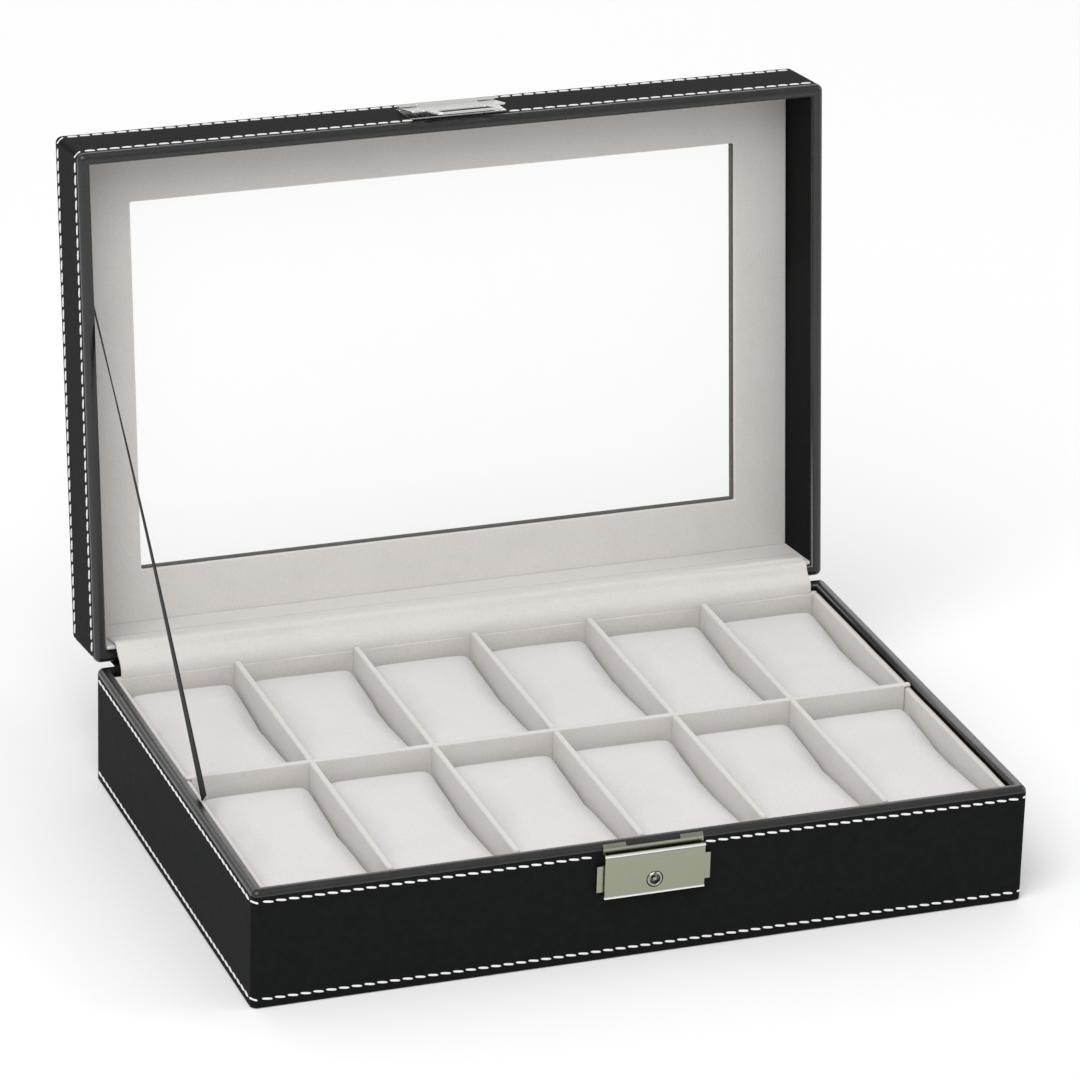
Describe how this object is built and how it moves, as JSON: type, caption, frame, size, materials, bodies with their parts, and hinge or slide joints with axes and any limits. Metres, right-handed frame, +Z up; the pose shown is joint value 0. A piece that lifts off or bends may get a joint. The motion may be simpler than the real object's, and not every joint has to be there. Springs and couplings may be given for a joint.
{
  "type": "watch box",
  "caption": "Leather covered display box for watches: velvet pillows in a divided tray, a framed glass lid on a ribbon stay, and a key lock with a swinging hasp.",
  "frame": {"origin": "middle of the tray's underside", "axes": "+X to the right along the box's length, +Y to the back where the lid is hinged, +Z up"},
  "size_m": [0.3, 0.2595, 0.2526],
  "materials": {
    "black_leather": "smooth black imitation leather, semi-gloss, fine grain",
    "lining_velvet": "short pile velvet over card, warm light grey",
    "pillow_velvet": "soft suede velvet, pale warm grey",
    "fibreboard": "raw medium density fibreboard",
    "underside_felt": "black flocked felt",
    "window_glass": "clear polished float glass",
    "bright_chrome": "polished chrome plate",
    "lock_nickel": "satin champagne nickel plate",
    "black_ribbon": "woven black ribbon"
  },
  "bodies": {
    "tray": {"base_underside": "underside_felt", "base_bottom_board": "fibreboard", "base_wall_front": "fibreboard", "base_wall_back": "fibreboard", "base_wall_left": "fibreboard", "base_wall_right": "fibreboard", "base_leather": "black_leather", "base_lining_floor": "lining_velvet", "base_lining_front": "lining_velvet", "base_lining_back": "lining_velvet", "base_lining_left": "lining_velvet", "base_lining_right": "lining_velvet", "divider_long": "lining_velvet", "divider_cross_1": "lining_velvet", "divider_cross_2": "lining_velvet", "divider_cross_3": "lining_velvet", "divider_cross_4": "lining_velvet", "divider_cross_5": "lining_velvet", "lock_back_plate": "bright_chrome", "lock_cover": "lock_nickel", "hinge_spine": "black_leather", "hinge_lining": "lining_velvet", "stay_ribbon": "black_ribbon"},
    "lid": {"lid_wall_front": "fibreboard", "lid_wall_back": "fibreboard", "lid_wall_left": "fibreboard", "lid_wall_right": "fibreboard", "lid_top_board": "fibreboard", "lid_spacer_frame": "fibreboard", "lid_leather": "black_leather", "lid_glass": "window_glass", "lid_velvet_panel": "lining_velvet", "lid_lining_back": "lining_velvet", "hasp_plate": "bright_chrome", "hasp_pin": "bright_chrome", "hasp_rivet_left": "bright_chrome", "hasp_rivet_right": "bright_chrome"},
    "hasp": {"hasp_flap": "bright_chrome"},
    "lock_barrel": {"lock_barrel": "bright_chrome"},
    "lock_bolt": {"lock_bolt": "bright_chrome"},
    "pillow_back_1": {"pillow_back_1": "pillow_velvet"},
    "pillow_back_2": {"pillow_back_2": "pillow_velvet"},
    "pillow_back_3": {"pillow_back_3": "pillow_velvet"},
    "pillow_back_4": {"pillow_back_4": "pillow_velvet"},
    "pillow_back_5": {"pillow_back_5": "pillow_velvet"},
    "pillow_back_6": {"pillow_back_6": "pillow_velvet"},
    "pillow_front_1": {"pillow_front_1": "pillow_velvet"},
    "pillow_front_2": {"pillow_front_2": "pillow_velvet"},
    "pillow_front_3": {"pillow_front_3": "pillow_velvet"},
    "pillow_front_4": {"pillow_front_4": "pillow_velvet"},
    "pillow_front_5": {"pillow_front_5": "pillow_velvet"},
    "pillow_front_6": {"pillow_front_6": "pillow_velvet"}
  },
  "joints": [
    {"name": "lid_hinge", "type": "hinge", "parent": "tray", "child": "lid", "pos_m": [0, 0.1004, 0.0468], "axis": [-1, 0, 0], "range_deg": [-96.4, 0], "deforming": ["stay_ribbon", "hinge_spine", "hinge_lining"]},
    {"name": "hasp_hinge", "type": "hinge", "parent": "lid", "child": "hasp", "pos_m": [0.0015, 0.14206, 0.246], "axis": [-1, 0, 0], "range_deg": [-7.3, 95]},
    {"name": "lock_turn", "type": "hinge", "parent": "tray", "child": "lock_barrel", "pos_m": [0.0015, -0.1, 0.0318], "axis": [0, -1, 0], "range_deg": [0, 90]},
    {"name": "lock_bolt_slide", "type": "slide", "parent": "tray", "child": "lock_bolt", "axis": [0, -1, 0], "range_m": [0, 0.0014]},
    {"name": "pillow_back_1_lift", "type": "slide", "parent": "tray", "child": "pillow_back_1", "axis": [0, 0, 1], "range_m": [0, 0.05]},
    {"name": "pillow_back_2_lift", "type": "slide", "parent": "tray", "child": "pillow_back_2", "axis": [0, 0, 1], "range_m": [0, 0.05]},
    {"name": "pillow_back_3_lift", "type": "slide", "parent": "tray", "child": "pillow_back_3", "axis": [0, 0, 1], "range_m": [0, 0.05]},
    {"name": "pillow_back_4_lift", "type": "slide", "parent": "tray", "child": "pillow_back_4", "axis": [0, 0, 1], "range_m": [0, 0.05]},
    {"name": "pillow_back_5_lift", "type": "slide", "parent": "tray", "child": "pillow_back_5", "axis": [0, 0, 1], "range_m": [0, 0.05]},
    {"name": "pillow_back_6_lift", "type": "slide", "parent": "tray", "child": "pillow_back_6", "axis": [0, 0, 1], "range_m": [0, 0.05]},
    {"name": "pillow_front_1_lift", "type": "slide", "parent": "tray", "child": "pillow_front_1", "axis": [0, 0, 1], "range_m": [0, 0.05]},
    {"name": "pillow_front_2_lift", "type": "slide", "parent": "tray", "child": "pillow_front_2", "axis": [0, 0, 1], "range_m": [0, 0.05]},
    {"name": "pillow_front_3_lift", "type": "slide", "parent": "tray", "child": "pillow_front_3", "axis": [0, 0, 1], "range_m": [0, 0.05]},
    {"name": "pillow_front_4_lift", "type": "slide", "parent": "tray", "child": "pillow_front_4", "axis": [0, 0, 1], "range_m": [0, 0.05]},
    {"name": "pillow_front_5_lift", "type": "slide", "parent": "tray", "child": "pillow_front_5", "axis": [0, 0, 1], "range_m": [0, 0.05]},
    {"name": "pillow_front_6_lift", "type": "slide", "parent": "tray", "child": "pillow_front_6", "axis": [0, 0, 1], "range_m": [0, 0.05]}
  ],
  "couplings": [
    {"joint": "lock_turn", "follows": "lock_bolt_slide", "rad_per_m": 1121.9}
  ]
}
